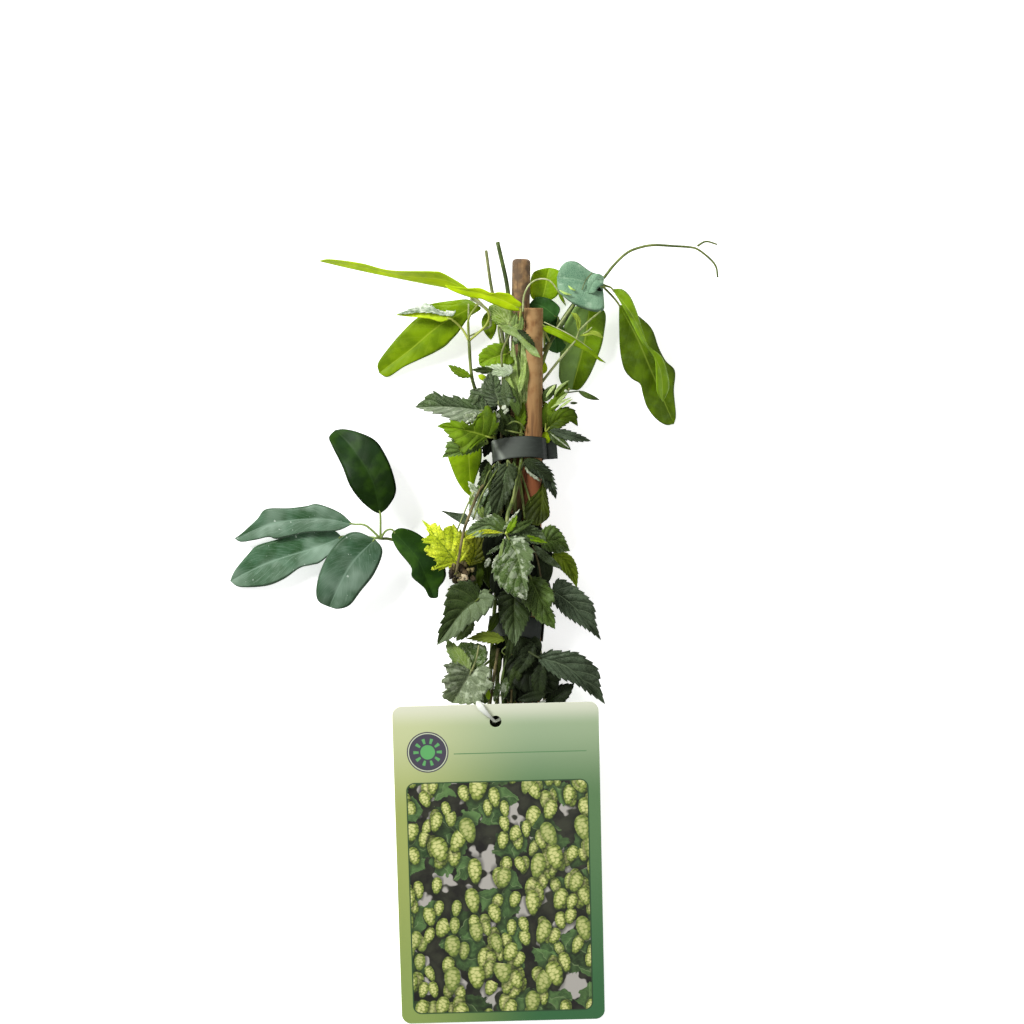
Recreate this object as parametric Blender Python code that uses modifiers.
# Hop bine, cut and tied to two canes, lying on its back with its hanging label.
# +Y runs along the canes to their tops, +X to the right, +Z up from the surface it lies on.
# The origin is at the middle of its outline, on the surface. Tables are in millimetres.

import math

import bmesh
import bpy
from mathutils import Matrix, Vector

MM = 0.001

LEAF_THICKNESS = 0.6
LEAF_STALK_HALF_WIDTH = 0.45
STALK_ROWS = 2
GAP = 0.5

CANE_SIDES = 18
CANE_EDGE = 0.5

TAPE_THICKNESS = 0.5
TAPE_WIDTH = 9.0

TAG_WIDTH = 87.0
TAG_LENGTH = 139.0
TAG_THICKNESS = 0.8
TAG_CORNER = 4.0
TAG_TOP = (9.3, -28.6, 20.0)
TAG_TILT = 8.1
TAG_TURN = 1.45
TAG_HOLE_RADIUS = 2.5
TAG_HOLE_DROP = 7.5
LOOP_RADIUS = 0.6

# name: bottom centre, top centre, bottom radius, top radius
CANES = {
    "cane_back": ((16.6, -72.0, 3.8), (20.4, 159.5, 12.0), 3.7, 3.9),
    "cane_front": ((24.7, -74.0, 3.6), (25.5, 138.1, 19.5), 3.5, 4.0),
}

# name: radius at the foot, radius at the tip, points of the route, paint
STEMS = {
    "bine_1": (1.0, 0.7, [(11.5, -70, 3.6), (10.0, -28, 5.5), (11.0, 0, 7.2), (12.2, 35, 8.4),
                          (11.9, 78, 9.0), (12.4, 100, 10.0), (12.6, 125, 12.0), (7.9, 146, 13.0),
                          (5.4, 163, 14.0)], "stem_green"),
    "bine_2": (1.0, 0.9, [(13.2, -72, 8.2), (13.2, -28, 9.4), (13.9, 5, 10.8), (14.6, 40, 12.0),
                          (14.6, 78, 12.9), (15.0, 104, 13.4), (14.3, 127, 14.0), (14.7, 145, 15.0),
                          (10.3, 166.3, 16.0)], "stem_green"),
    "bine_3": (0.9, 0.7, [(7.0, -66, 7.6), (6.8, -28, 9.0), (8.2, 0, 10.8), (10.4, 35, 12.6),
                          (10.0, 78, 13.0), (5.4, 95.4, 13.0), (0.7, 104.7, 13.0),
                          (-1.0, 112.4, 13.2), (-1.8, 124.6, 14.0)], "stem_green"),
    "bine_4": (1.0, 0.8, [(31.4, -68, 2.6), (30.6, -28, 3.2), (27.2, 2, 4.2), (26.2, 35, 5.6),
                          (25.8, 78, 7.9), (28.3, 100, 8.0), (30.4, 119, 10.0), (41.9, 139.6, 12.0),
                          (53.5, 149.2, 13.0)], "stem_green"),
    "bine_5": (0.9, 0.7, [(17.0, -69, 9.4), (17.0, -28, 10.8), (17.4, 5, 12.3), (17.8, 40, 13.6),
                          (17.6, 78, 14.6), (18.8, 100, 16.0), (19.6, 120, 18.0),
                          (19.4, 131, 20.0)], "stem_green"),
    "dead_stem": (0.8, 0.9, [(12.2, 92, 15.1), (11.8, 82, 15.5), (11.2, 74, 15.8), (8.6, 67.5, 17.6),
                             (2.9, 61.4, 22.0), (-2.0, 49.3, 26.6), (-4.1, 42.6, 28.0),
                             (-6.8, 27, 28.4)], "stem_brown"),
    "side_shoot": (0.8, 0.8, [(19.9, 92, 18.3), (20.3, 82, 17.9), (20.3, 74, 18.2),
                              (18.9, 64.8, 21.0), (16.8, 57.2, 24.0), (14.7, 51.4, 26.0),
                              (14.3, 45.6, 28.0), (14.7, 43.2, 28.6)], "stem_green"),
    "whorl_stalk": (0.8, 0.6, [(8.2, 29.4, 12.3), (-4.8, 31.9, 13.0), (-18.3, 35.3, 14.0),
                               (-33.9, 40.4, 15.0), (-39.2, 41.0, 15.3)], "stem_green"),
    "tendril": (0.65, 0.4, [(55.2, 151.2, 13.4), (59.6, 156.8, 14.0), (65.1, 161.9, 14.0),
                            (70.6, 164.2, 14.0), (76.6, 165.3, 13.0), (85.2, 165.1, 11.0),
                            (91.7, 164.9, 9.0), (95.6, 164.0, 8.0), (101.0, 160.3, 5.0),
                            (103.7, 157.0, 3.5), (104.6, 152.9, 1.2)], "stem_green"),
    "tendril_tip": (0.5, 0.35, [(95.4, 165.5, 8.4), (99.1, 167.5, 7.0), (103.9, 166.4, 6.0)],
                    "stem_green"),
}

# Each tape runs once round the bundle as (x, z) points, from its tail round to the tail again.
TAPES = {
    "upper_tie": (78.2, 4.0, [(35.4, 13.4), (31.6, 14.2), (30.3, 12.6), (29.6, 9.8), (27.8, 6.0),
                              (24.0, 4.7), (18.8, 4.6), (14.6, 5.5), (10.0, 7.4), (8.0, 10.4),
                              (8.0, 13.8), (9.2, 16.8), (13.0, 18.7), (20.3, 20.4), (25.6, 20.6),
                              (29.0, 19.0), (30.5, 17.0), (31.1, 15.8)]),
    "lower_tie": (1.9, -3.0, [(31.6, 11.0), (30.2, 9.2), (29.8, 5.0), (28.8, 2.3), (24.0, 1.6),
                              (17.8, 1.8), (13.0, 3.4), (9.0, 5.8), (6.5, 9.0), (6.8, 12.0),
                              (9.6, 13.2), (14.0, 13.6), (18.0, 14.2), (22.4, 14.4), (26.2, 14.0),
                              (29.0, 12.5)]),
}

# The label's cord: from the hole over the label's top edge, round the bundle and back.
LOOP_ROUTE = [(8.8, -36.2, 19.0), (7.4, -34.4, 21.2), (4.7, -31.2, 22.3), (3.4, -28.3, 21.8),
              (3.1, -27.0, 18.0), (3.4, -26.6, 9.5), (6.4, -26.4, 3.2), (12.0, -26.4, 1.0),
              (22.0, -26.4, 0.85), (30.4, -26.4, 1.1), (33.0, -26.6, 4.0), (31.6, -27.4, 9.4),
              (27.0, -29.4, 13.0), (20.0, -32.0, 14.4), (13.0, -34.6, 15.2), (9.6, -36.2, 16.6)]

# Blade forms: rows along the blade, columns across, where it is widest, how blunt its base
# and tip are, how far its side veins point forward at base and tip, teeth and their depth,
# how much the two halves fold up, how much they curl down, and the side lobes' share.
FORMS = {
    "lance": dict(rows=8, columns=2, base=0.75, tip=1.0, sweep=(10, 30), teeth=0, depth=0.0,
                  fold=12, curl=0.10, lobes=0.0),
    "oval": dict(rows=7, columns=4, base=0.5, tip=0.55, sweep=(0, 20), teeth=0, depth=0.0,
                 fold=8, curl=0.16, lobes=0.0),
    "ovate": dict(rows=10, columns=2, base=0.36, tip=0.9, sweep=(-48, 48), teeth=5, depth=0.16,
                  fold=14, curl=0.14, lobes=0.0),
    "lobed": dict(rows=12, columns=2, base=0.36, tip=0.75, sweep=(-48, 42), teeth=6, depth=0.16,
                  fold=10, curl=0.12, lobes=0.3),
}

# name: form, paint, stem that it grows from and where along it (its y, or the tip), stalk points,
# blade base, blade tip, bow to the right, arch upwards, half widths left and right, roll
LEAVES = {
    "lance_leaf_long": ("lance", "lime", ("bine_3", "tip"), [(5.5, 131.2, 17), (6.2, 136.5, 20.5)],
                        (-1.5, 144.2, 22.5), (-65.9, 159.1, 11.0), 3, 2, (6.0, 6.0), -62),
    "lance_leaf_front": ("lance", "lime", ("bine_5", "tip"), [], (18.8, 136.4, 25.0),
                         (-11.6, 147.0, 28.5), 3, 2, (3.6, 4.6), -38),
    "oval_leaf_left": ("oval", "lime", ("bine_3", "tip"), [(-1.9, 133.5, 18.5)], (-4.0, 137.3, 19.5),
                       (-40.6, 113.1, 0.6), 0, 3, (7.6, 8.6), 0),
    "pale_leaf_left": ("lance", "pale", ("bine_3", "tip"), [(-4.6, 129.6, 13.4)], (-10.2, 133.8, 13.0),
                       (-32.6, 135.4, 9.0), 1, 1, (2.6, 2.6), 10),
    "serrate_leaf_top": ("ovate", "mid", ("bine_2", 124), [], (15.4, 130.4, 17.4),
                         (6.7, 138.6, 17.4), 0, 1, (4.6, 4.6), 0),
    "folded_leaf_top": ("lance", "pale", ("bine_1", 118), [(11.6, 123.4, 19)], (11.4, 129.4, 25.0),
                        (28.5, 116.6, 26.4), -1, 3, (2.6, 2.6), 18),
    "round_leaf_top": ("ovate", "mid", ("bine_5", 112), [], (15.2, 119.4, 20.6),
                       (2.5, 114.2, 20.8), 0, 1, (5.4, 5.4), 0),
    "grey_leaf_upper": ("lobed", "grey", ("bine_2", 91), [], (10.9, 98.2, 20.4),
                        (5.5, 111.4, 23.6), 0, 1, (7.0, 7.0), 0),
    "grey_leaf_left": ("ovate", "grey", ("bine_3", 90), [], (3.4, 94.8, 22.4),
                       (-24.5, 96.2, 18.0), 2, 1, (5.4, 6.6), 0),
    "bright_leaf_tie": ("lobed", "mid", ("bine_3", 85), [], (5.0, 85.4, 25.2),
                        (-15.1, 87.6, 24.4), 0, 1, (7.6, 8.4), 0),
    "dark_leaf_tie": ("ovate", "dark", ("bine_3", 87.5), [(3.4, 86.0, 14.6)], (-0.5, 81.4, 16.4),
                      (-13.4, 75.0, 15.4), 0, 1, (4.4, 4.4), 0),
    "lime_leaf_tie": ("oval", "lime", ("bine_1", 86), [(4.6, 85.8, 8.6)], (-1.0, 82.0, 8.0),
                      (-0.6, 58.6, 3.4), 2, 2, (6.6, 7.6), 0),
    "lime_leaf_right": ("oval", "lime", ("bine_4", 119), [(29.8, 131.0, 7.4)], (28.9, 140.6, 5.8),
                        (32.2, 156.2, 4.8), 0, 1, (6.0, 6.2), 0),
    "blue_leaf_right": ("oval", "blue", ("bine_4", "tip"), [(51.0, 149.6, 15.6)], (52.6, 147.6, 17.8),
                        (34.6, 151.0, 18.0), 0, 2, (9.2, 9.6), 0),
    "dark_leaf_upper_right": ("oval", "dark", ("bine_4", 128), [], (35.0, 133.8, 9.0),
                              (26.8, 141.6, 8.8), 0, 1, (5.0, 5.0), 0),
    "hanging_leaf_right": ("oval", "leaf", ("bine_4", 143), [], (49.6, 140.2, 9.4),
                           (41.7, 105.0, 0.5), 0, 2, (8.6, 9.0), 0),
    "folded_leaf_right": ("lance", "pale", ("bine_4", 123), [(30.6, 127.6, 15.4)],
                          (30.8, 131.4, 20.0), (55.6, 115.0, 18.6), -2, 3, (2.4, 2.4), 30),
    "long_leaf_right": ("oval", "lime", ("bine_4", "tip"), [(58.6, 143.8, 14.6)], (61.7, 139.0, 14.6),
                        (86.3, 90.0, 0.5), 0, 3, (8.8, 8.8), 0),
    "twisted_leaf_right": ("lance", "lime", ("bine_4", "tip"), [(56.4, 147.6, 16.6)],
                           (59.6, 148.0, 18.4), (81.0, 99.4, 10.5), -13, 4, (3.6, 3.6), -42),
    "hop_leaf_right": ("ovate", "mid", ("bine_4", 97), [(31.2, 97.6, 13.0)], (32.4, 95.4, 16.6),
                       (44.7, 88.6, 15.0), -1, 1, (4.2, 4.2), 0),
    "neck_leaf_right": ("ovate", "dark", ("side_shoot", 69), [], (25.0, 71.2, 21.2),
                        (35.4, 58.1, 14.4), -4, 3, (5.6, 4.4), 0),
    "neck_leaf_green": ("ovate", "leaf", ("bine_4", 66), [(31.2, 66.0, 10.6)], (31.6, 60.6, 13.8),
                        (28.8, 46.3, 19.0), -1, 0, (4.8, 2.8), 25),
    "wilted_leaf": ("ovate", "dark", ("side_shoot", 66), [], (14.6, 66.8, 22.0),
                    (9.0, 50.9, 21.4), 0, 1, (3.2, 3.2), 0),
    "yellow_leaf": ("lobed", "yellow", ("dead_stem", "tip"), [(-7.4, 26.2, 25.4)],
                    (-6.6, 31.0, 23.6), (-19.1, 48.4, 24.0), 2, 2, (10.0, 12.6), 0),
    "whorl_leaf_left": ("ovate", "mid", ("side_shoot", "tip"), [], (11.4, 44.6, 31.4),
                        (-2.8, 43.0, 33.2), 5, 2, (3.4, 7.0), 0),
    "whorl_leaf_right": ("ovate", "mid", ("side_shoot", "tip"), [], (18.2, 44.4, 30.6),
                         (30.6, 39.3, 29.0), -4, 2, (5.6, 4.0), 0),
    "mottled_leaf": ("ovate", "pale", ("side_shoot", "tip"), [], (15.6, 39.8, 32.6),
                     (22.6, 16.0, 31.0), 0, 3, (8.4, 10.4), 0),
    "mid_leaf_right": ("ovate", "leaf", ("bine_5", 46), [], (26.2, 43.6, 21.4),
                       (40.9, 35.7, 16.6), -1, 2, (5.6, 6.6), 0),
    "olive_leaf_right": ("ovate", "dark", ("bine_4", 40), [(31.4, 36.6, 10.2)], (32.4, 34.6, 13.6),
                         (44.4, 20.0, 10.6), -4, 2, (4.6, 4.6), 0),
    "mid_leaf_front": ("ovate", "leaf", ("bine_5", 30), [], (23.2, 25.0, 25.0),
                       (34.5, 3.1, 22.6), -1, 2, (6.6, 7.4), 0),
    "dark_leaf_right": ("ovate", "bluegreen", ("bine_4", 24), [(31.4, 22.8, 10.6)],
                        (33.8, 19.4, 17.4), (54.2, -2.2, 10.5), -5, 3, (7.2, 6.8), 0),
    "hop_leaf_left": ("ovate", "leaf", ("bine_3", 21), [], (2.6, 15.8, 26.0),
                      (-15.2, -3.8, 20.0), 1, 2, (7.6, 11.8), 0),
    "centre_leaf_low": ("ovate", "leaf", ("bine_5", 25), [], (15.2, 18.8, 20.6),
                        (17.7, -4.4, 20.8), 1, 2, (7.6, 6.8), 0),
    "small_leaf_left": ("ovate", "mid", ("bine_3", -16), [], (-1.2, -13.6, 17.6),
                        (-11.0, -1.3, 17.6), 0, 1, (3.8, 3.8), 0),
    "leaf_left_low": ("ovate", "leaf", ("bine_3", -10), [], (2.6, -12.0, 14.0),
                      (-4.3, -3.0, 13.8), 0, 1, (4.6, 6.4), 0),
    "pale_leaf_low": ("ovate", "grey", ("bine_3", -20), [], (0.0, -13.8, 19.4),
                      (-11.0, -28.0, 14.4), 0, 1, (11.0, 12.0), 0),
    "dark_leaf_low": ("ovate", "dark", ("bine_5", -9), [], (18.8, -12.2, 15.2),
                      (33.4, -24.4, 14.4), 0, 1, (9.4, 9.0), 0),
    "dark_leaf_low_right": ("ovate", "bluegreen", ("bine_5", -5), [], (27.0, -8.6, 20.6),
                            (55.8, -29.2, 12.6), -6, 3, (8.0, 6.6), 0),
    "whorl_leaflet_1": ("oval", "glossy", ("whorl_stalk", "tip"), [], (-39.5, 51.4, 16.8),
                        (-61.6, 86.3, 6.0), 9, 3, (9.0, 9.4), 0),
    "whorl_leaflet_2": ("oval", "glossy", ("whorl_stalk", "tip"), [(-45.2, 46.4, 16.4)],
                        (-50.9, 47.2, 14.6), (-102.2, 40.9, 3.8), 8, 3, (6.4, 6.4), 0),
    "whorl_leaflet_3": ("oval", "glossy", ("whorl_stalk", "tip"), [(-45.6, 41.6, 12.0)],
                        (-54.0, 41.4, 10.4), (-104.2, 22.4, 0.5), 2, 1, (8.6, 8.8), 0),
    "whorl_leaflet_4": ("oval", "glossy", ("whorl_stalk", "tip"), [], (-42.6, 38.6, 17.4),
                        (-61.4, 11.4, 9.4), 4, 3, (10.2, 10.4), 0),
    "whorl_leaflet_5": ("oval", "glossy", ("whorl_stalk", "tip"), [(-36.8, 44.2, 19.0)],
                        (-33.0, 43.8, 19.0), (-16.5, 15.1, 6.5), -7, 5, (6.8, 6.6), 0),
}

# name: colour, roughness
PAINTS = {
    "cane_wood": ((0.50, 0.27, 0.13), 0.7),
    "stem_green": ((0.18, 0.30, 0.07), 0.55),
    "stem_brown": ((0.20, 0.15, 0.06), 0.7),
    "tape": ((0.07, 0.08, 0.08), 0.5),
    "label": ((0.42, 0.55, 0.28), 0.35),
    "label_cord": ((0.72, 0.74, 0.70), 0.4),
    "lime": ((0.30, 0.52, 0.05), 0.4),
    "mid": ((0.14, 0.33, 0.05), 0.45),
    "leaf": ((0.06, 0.15, 0.04), 0.45),
    "dark": ((0.03, 0.07, 0.03), 0.45),
    "bluegreen": ((0.05, 0.11, 0.07), 0.4),
    "grey": ((0.16, 0.25, 0.15), 0.5),
    "pale": ((0.42, 0.52, 0.36), 0.5),
    "blue": ((0.20, 0.34, 0.27), 0.4),
    "yellow": ((0.50, 0.58, 0.06), 0.45),
    "glossy": ((0.02, 0.07, 0.03), 0.25),
}


def clear_scene():
    for old in list(bpy.data.objects):
        bpy.data.objects.remove(old)


def make_collection():
    collection = bpy.data.collections.new("hop_bine")
    bpy.context.scene.collection.children.link(collection)
    return collection


def add_material(obj, paint):
    colour, roughness = PAINTS[paint]
    material = bpy.data.materials.new(f"{obj.name}_{paint}")
    material.use_nodes = True
    shader = material.node_tree.nodes["Principled BSDF"]
    shader.inputs["Base Color"].default_value = (*colour, 1.0)
    shader.inputs["Roughness"].default_value = roughness
    shader.inputs["Metallic"].default_value = 0.0
    obj.data.materials.append(material)


def add_object(collection, name, data, paint):
    obj = bpy.data.objects.new(name, data)
    collection.objects.link(obj)
    add_material(obj, paint)
    return obj


def smooth_route(points, steps, closed=False):
    # A smooth curve through every point, with a number of steps between neighbours.
    count = len(points)
    vectors = [Vector(p) for p in points]
    spans = count if closed else count - 1
    route = []
    for i in range(spans):
        if closed:
            a, b, c, d = (vectors[(i + k) % count] for k in (-1, 0, 1, 2))
        else:
            b, c = vectors[i], vectors[i + 1]
            a = vectors[i - 1] if i else b * 2 - c
            d = vectors[i + 2] if i + 2 < count else c * 2 - b
        for k in range(steps):
            t = k / steps
            route.append(0.5 * (2 * b + (c - a) * t + (2 * a - 5 * b + 4 * c - d) * t * t
                                + (3 * b - 3 * c + d - a) * t ** 3))
    if not closed:
        route.append(vectors[-1])
    return route


def add_tube(collection, name, route, radii, paint, resolution, closed=False):
    data = bpy.data.curves.new(name, "CURVE")
    data.dimensions = "3D"
    data.bevel_depth = MM
    data.bevel_resolution = resolution
    data.use_fill_caps = not closed
    spline = data.splines.new("POLY")
    spline.points.add(len(route) - 1)
    for i, (target, place) in enumerate(zip(spline.points, route)):
        target.co = (*(place * MM), 1.0)
        target.radius = radii[0] + (radii[1] - radii[0]) * i / (len(route) - 1)
    spline.use_cyclic_u = closed
    spline.use_smooth = True
    return add_object(collection, name, data, paint)


def add_stems(collection):
    for name, (foot, tip, points, paint) in STEMS.items():
        add_tube(collection, name, smooth_route(points, 2), (foot, tip), paint, 1)


def add_canes(collection):
    for name, (bottom, top, bottom_radius, top_radius) in CANES.items():
        low, high = Vector(bottom) * MM, Vector(top) * MM
        mesh = bpy.data.meshes.new(name)
        bm = bmesh.new()
        bmesh.ops.create_cone(bm, cap_ends=True, segments=CANE_SIDES, radius1=bottom_radius * MM,
                              radius2=top_radius * MM, depth=(high - low).length)
        bm.to_mesh(mesh)
        bm.free()
        mesh.shade_smooth()
        mesh.set_sharp_from_angle(angle=math.radians(50))
        cane = add_object(collection, name, mesh, "cane_wood")
        cane.location = (low + high) / 2
        cane.rotation_euler = (high - low).to_track_quat("Z", "X").to_euler()
        edge = cane.modifiers.new("worn_edge", "BEVEL")
        edge.width = CANE_EDGE * MM
        edge.segments = 2
        edge.limit_method = "ANGLE"


def add_tapes(collection):
    for name, (along, slant, outline) in TAPES.items():
        route = [Vector((x, 0.0, z)) for x, z in outline]
        middle = Vector((20.0, 0.0, 0.0))
        turn = Matrix.Rotation(math.radians(slant), 3, "Z")
        mesh = bpy.data.meshes.new(name)
        bm = bmesh.new()
        bmesh.ops.create_grid(bm, x_segments=len(route) - 1, y_segments=1, size=0.5)
        for vert in bm.verts:
            column = round((vert.co.x + 0.5) * (len(route) - 1))
            across = vert.co.y * TAPE_WIDTH
            place = turn @ (route[column] - middle + Vector((0.0, across, 0.0))) + middle
            vert.co = (place + Vector((0.0, along, 0.0))) * MM
        bm.to_mesh(mesh)
        bm.free()
        tape = add_object(collection, name, mesh, "tape")
        wall = tape.modifiers.new("tape_thickness", "SOLIDIFY")
        wall.thickness = TAPE_THICKNESS * MM
        wall.offset = 0.0


def add_tag(collection):
    data = bpy.data.curves.new("tag", "CURVE")
    data.dimensions = "2D"
    data.fill_mode = "BOTH"
    data.extrude = TAG_THICKNESS / 2 * MM
    half = TAG_WIDTH / 2 - TAG_CORNER
    corners = [(half, -TAG_CORNER), (-half, -TAG_CORNER),
               (-half, TAG_CORNER - TAG_LENGTH), (half, TAG_CORNER - TAG_LENGTH)]
    outline = []
    for quarter, (x, y) in enumerate(corners):
        for step in range(6):
            angle = math.radians(90 * quarter + 90 * step / 5)
            outline.append((x + TAG_CORNER * math.cos(angle), y + TAG_CORNER * math.sin(angle)))
    hole = []
    for step in range(20):
        angle = math.tau * step / 20
        hole.append((TAG_HOLE_RADIUS * math.cos(angle),
                     TAG_HOLE_RADIUS * math.sin(angle) - TAG_HOLE_DROP))
    for ring in (outline, hole):
        spline = data.splines.new("POLY")
        spline.points.add(len(ring) - 1)
        for target, (x, y) in zip(spline.points, ring):
            target.co = (x * MM, y * MM, 0.0, 1.0)
        spline.use_cyclic_u = True
    tag = add_object(collection, "tag", data, "label")
    tag.location = Vector(TAG_TOP) * MM
    tag.rotation_euler = (math.radians(TAG_TILT), 0.0, math.radians(TAG_TURN))


def add_tag_loop(collection):
    route = smooth_route(LOOP_ROUTE, 2, closed=True)
    add_tube(collection, "tag_loop", route, (LOOP_RADIUS, LOOP_RADIUS), "label_cord", 1, closed=True)


def stalk_start(origin, towards):
    # A stalk leaves its stem just clear of the bark, on the side that faces the leaf.
    stem, along = origin
    foot, tip, points, _ = STEMS[stem]
    route = smooth_route(points, 8)
    if along == "tip":
        outwards = towards - route[-1]
        return route[-1] + outwards.normalized() * (tip + GAP + LEAF_THICKNESS / 2)
    nearest = min(range(len(route) - 1), key=lambda i: abs(route[i].y - along))
    run = (route[nearest + 1] - route[nearest]).normalized()
    radius = foot + (tip - foot) * nearest / (len(route) - 1)
    outwards = towards - route[nearest]
    outwards -= run * outwards.dot(run)
    return route[nearest] + outwards.normalized() * (radius + GAP + LEAF_THICKNESS / 2)


def side_reach(form, t):
    # Share of the half width that the blade has at t along its midrib, 0 at both ends.
    base, tip = form["base"], form["tip"]
    widest = base / (base + tip)
    reach = (t / widest) ** base * ((1 - t) / (1 - widest)) ** tip
    if form["lobes"]:
        notch = math.exp(-((t - 0.5) / 0.1) ** 2)
        reach *= 1 - form["lobes"] * notch
    return reach


def blade_section(form, t, row):
    reach = side_reach(form, min(max(t, 0.005), 0.995))
    if form["teeth"] and row % 2 == 0:
        reach *= 1 - form["depth"]
    low, high = form["sweep"]
    return reach, math.radians(low + (high - low) * t)


def leaf_spine(leaf):
    # Centre line of the leaf: its stalk, then its midrib with a bow and an arch.
    _, _, origin, via, base, tip, bow, arch, _, _ = leaf
    base, tip = Vector(base), Vector(tip)
    chord = tip - base
    right = chord.cross(Vector((0, 0, 1))).normalized()
    middle = (base + tip) / 2 + right * bow + Vector((0, 0, arch))
    start = stalk_start(origin, Vector(via[0]) if via else base)
    entry = base - (middle - base).normalized() * 0.8
    stalk = smooth_route([start, *[Vector(v) for v in via], entry, base], 4)[:-1]
    return stalk, (base, middle, tip)


def midrib(blade, t):
    base, middle, tip = blade
    return base * (1 - t) ** 2 + middle * 2 * t * (1 - t) + tip * t * t


def pick_along(route, share):
    place = share * (len(route) - 1)
    index = min(int(place), len(route) - 2)
    return route[index].lerp(route[index + 1], place - index)


def blade_share(form, row):
    # Toothed blades have even rows, smooth ones have closer rows towards their round ends.
    share = row / form["rows"]
    return share if form["teeth"] else (share + 0.5 - 0.5 * math.cos(math.pi * share)) / 2


def leaf_rows(leaf, form):
    # Centre points of the rows: a few on the stalk, then the blade's own.
    stalk, blade = leaf_spine(leaf)
    rows = [(pick_along(stalk, i / STALK_ROWS), None) for i in range(STALK_ROWS)]
    rows += [(midrib(blade, blade_share(form, i)), i) for i in range(form["rows"] + 1)]
    return rows


def add_leaf(collection, name, leaf):
    form = FORMS[leaf[0]]
    widths, roll = leaf[8], math.radians(leaf[9])
    rows = leaf_rows(leaf, form)
    centres = [centre for centre, _ in rows]
    mesh = bpy.data.meshes.new(name)
    bm = bmesh.new()
    bmesh.ops.create_grid(bm, x_segments=len(rows) - 1, y_segments=form["columns"], size=0.5)
    fold = math.radians(form["fold"])
    for vert in bm.verts:
        index = round((vert.co.x + 0.5) * (len(rows) - 1))
        across = vert.co.y * 2
        centre, row = rows[index]
        along = centres[min(index + 1, len(rows) - 1)] - centres[max(index - 1, 0)]
        along.normalize()
        side = along.cross(Vector((0, 0, 1))).normalized()
        up = side.cross(along)
        turn = roll if row is not None else 0.0
        side, up = (side * math.cos(turn) + up * math.sin(turn),
                    up * math.cos(turn) - side * math.sin(turn))
        if row is None:
            vert.co = (centre + side * across * LEAF_STALK_HALF_WIDTH) * MM
            continue
        share, sweep = blade_section(form, blade_share(form, row), row)
        width = widths[1] if across > 0 else widths[0]
        reach = max(share * width, 0.35) * abs(across)
        outwards = side * math.copysign(math.cos(sweep), across) + along * math.sin(sweep)
        rise = reach * math.sin(fold) - form["curl"] * reach * reach / width
        vert.co = (centre + outwards * reach * math.cos(fold) + up * rise) * MM
    bmesh.ops.recalc_face_normals(bm, faces=bm.faces)
    bm.to_mesh(mesh)
    bm.free()
    mesh.shade_smooth()
    obj = add_object(collection, name, mesh, leaf[1])
    wall = obj.modifiers.new("leaf_thickness", "SOLIDIFY")
    wall.thickness = LEAF_THICKNESS * MM
    wall.offset = 0.0


def build_hop_bine():
    clear_scene()
    collection = make_collection()
    add_canes(collection)
    add_stems(collection)
    add_tapes(collection)
    add_tag(collection)
    add_tag_loop(collection)
    for name, leaf in LEAVES.items():
        add_leaf(collection, name, leaf)


build_hop_bine()
